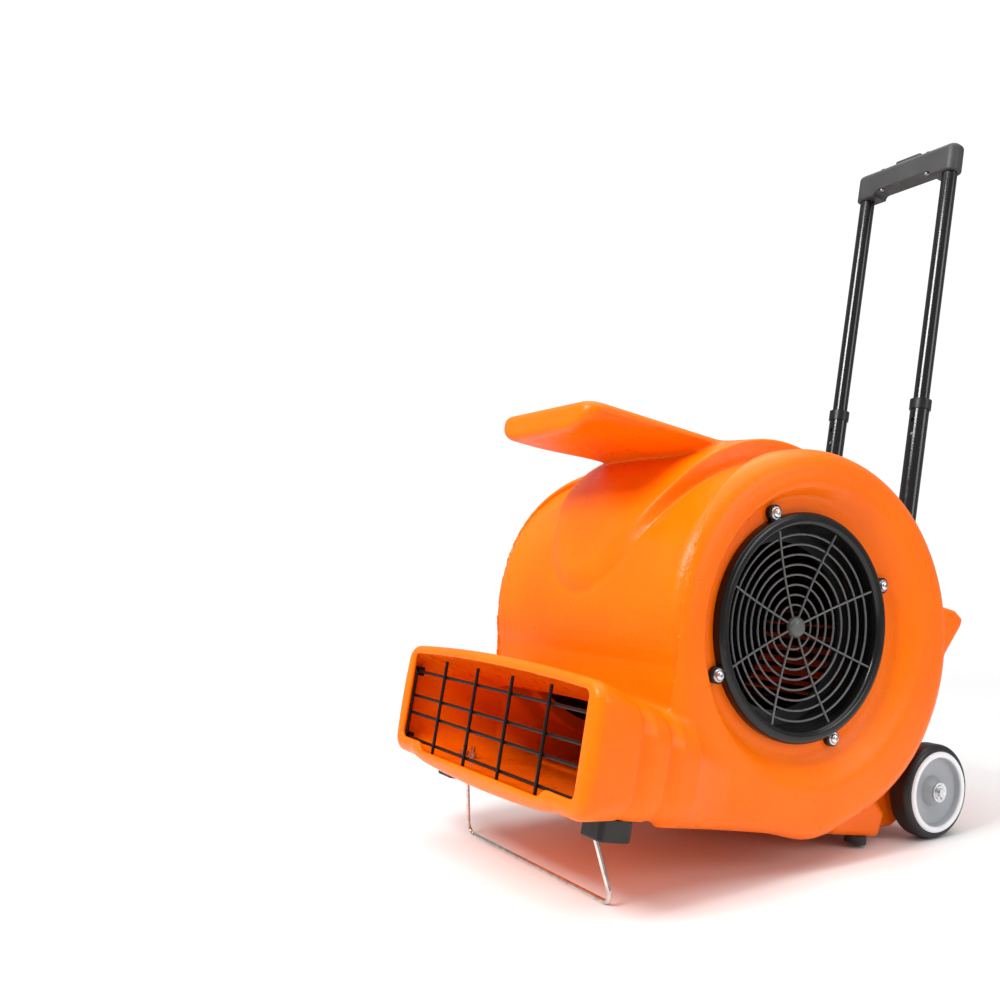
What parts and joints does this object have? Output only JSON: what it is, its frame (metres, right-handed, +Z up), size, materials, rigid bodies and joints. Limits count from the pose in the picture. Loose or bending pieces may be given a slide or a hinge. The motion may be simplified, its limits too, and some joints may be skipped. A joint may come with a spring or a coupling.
{
  "type": "centrifugal air mover",
  "caption": "Orange moulded floor dryer: round drum with side air inlets, low grilled outlet, carry handle, wire kickstand, wheels and telescoping trolley handle.",
  "frame": {"origin": "On the floor, at the centre of the bounding box's footprint, with the machine leaning back on its tyres and kickstand.", "axes": "+Z is up. -Y is the way the air leaves. +X is the side with the open inlet, away from the motor; the impeller's axis is along X. The drum and the trolley tubes lean back by 11.1 degrees about X."},
  "size_m": [0.462, 0.804, 1.0008],
  "materials": {
    "orange_shell": "fine pebble-grained rotomoulded polyethylene, saturated orange, soft sheen",
    "black_ring": "semi-gloss black moulding",
    "dark_wire": "dark grey powder coat over steel wire",
    "black_wire": "black powder coat over steel wire",
    "zinc": "bright zinc plating",
    "stand_wire": "nickel-plated bent rod",
    "black_plastic": "fine-textured black plastic",
    "motor_paint": "satin black enamel",
    "steel": "machined steel",
    "switch_shell": "plain black switch housing",
    "foot_rubber": "matte black rubber",
    "grey_hub": "light grey moulded plastic",
    "tyre_rubber": "solid black rubber",
    "black_tube": "gloss black enamel on steel tube",
    "dark_grip": "dark grey textured plastic"
  },
  "bodies": {
    "base": {"axle": "zinc", "axle_clips": "zinc", "bracket_bolts": "zinc", "bracket_nuts": "zinc", "capacitor_clip": "steel", "cord_gland": "black_plastic", "gland_nut": "black_plastic", "grille_clips": "black_wire", "guard_cap_left": "dark_wire", "guard_cap_right": "dark_wire", "guard_screws_left": "zinc", "guard_screws_right": "zinc", "housing": "orange_shell", "inlet_guard_left": "dark_wire", "inlet_guard_right": "dark_wire", "inlet_ring_left": "black_ring", "inlet_ring_right": "black_ring", "motor_bearings": "steel", "motor_bolts": "zinc", "motor_can": "motor_paint", "motor_drive_bell": "motor_paint", "motor_plate": "motor_paint", "motor_rear_bell": "motor_paint", "motor_spacers": "steel", "motor_stator": "steel", "outer_tube_left": "black_tube", "outer_tube_right": "black_tube", "outlet_grille": "black_wire", "panel_screws": "steel", "pivot_bracket_left": "black_plastic", "pivot_bracket_right": "black_plastic", "rear_foot_left": "foot_rubber", "rear_foot_right": "foot_rubber", "run_capacitor": "black_plastic", "switch_body": "switch_shell", "switch_plate": "black_plastic", "tube_collars": "black_plastic", "wheel_washers": "zinc"},
    "rotor": {"impeller_wheel": "black_plastic", "impeller_hub": "steel", "motor_shaft": "steel", "motor_rotor": "steel"},
    "wheel_right": {"wheel_hub_right": "grey_hub", "tyre_right": "tyre_rubber"},
    "wheel_left": {"wheel_hub_left": "grey_hub", "tyre_left": "tyre_rubber"},
    "stand": {"kickstand": "stand_wire"},
    "handle": {"inner_tube_right": "black_tube", "inner_tube_left": "black_tube", "tube_plugs": "black_plastic", "grip_lower": "dark_grip", "grip_upper": "dark_grip", "grip_screws": "steel"},
    "release": {"release_button": "dark_grip", "release_rods": "steel"},
    "pin_right": {"lock_pin_right": "steel"},
    "pin_left": {"lock_pin_left": "steel"},
    "knob": {"speed_knob": "black_plastic"}
  },
  "joints": [
    {"name": "impeller_spin", "type": "hinge", "parent": "base", "child": "rotor", "pos_m": [0, -0.05042, 0.29319], "axis": [1, 0, 0], "continuous": true},
    {"name": "wheel_right_spin", "type": "hinge", "parent": "base", "child": "wheel_right", "pos_m": [0, 0.20087, 0.0625], "axis": [1, 0, 0], "continuous": true},
    {"name": "wheel_left_spin", "type": "hinge", "parent": "base", "child": "wheel_left", "pos_m": [0, 0.20087, 0.0625], "axis": [1, 0, 0], "continuous": true},
    {"name": "kickstand_fold", "type": "hinge", "parent": "base", "child": "stand", "pos_m": [0, -0.33033, 0.09232], "axis": [1, 0, 0], "range_deg": [0, 73]},
    {"name": "handle_slide", "type": "slide", "parent": "base", "child": "handle", "axis": [0, 0.1925, 0.9813], "range_m": [-0.348, 0]},
    {"name": "release_press", "type": "slide", "parent": "handle", "child": "release", "axis": [0, 0.1925, 0.9813], "range_m": [-0.005, 0], "stiffness_N_per_m": 900, "springref_m": 0.006},
    {"name": "lock_pin_right_slide", "type": "slide", "parent": "handle", "child": "pin_right", "axis": [0, 0.9813, -0.1925], "range_m": [0, 0.004]},
    {"name": "lock_pin_left_slide", "type": "slide", "parent": "handle", "child": "pin_left", "axis": [0, 0.9813, -0.1925], "range_m": [0, 0.004]},
    {"name": "speed_knob_turn", "type": "hinge", "parent": "base", "child": "knob", "pos_m": [0, 0.14214, 0.42259], "axis": [0, -0.83, -0.5577], "range_deg": [0, 135]}
  ],
  "couplings": [
    {"joint": "lock_pin_right_slide", "follows": "release_press", "ratio": -0.8},
    {"joint": "lock_pin_left_slide", "follows": "release_press", "ratio": -0.8}
  ]
}
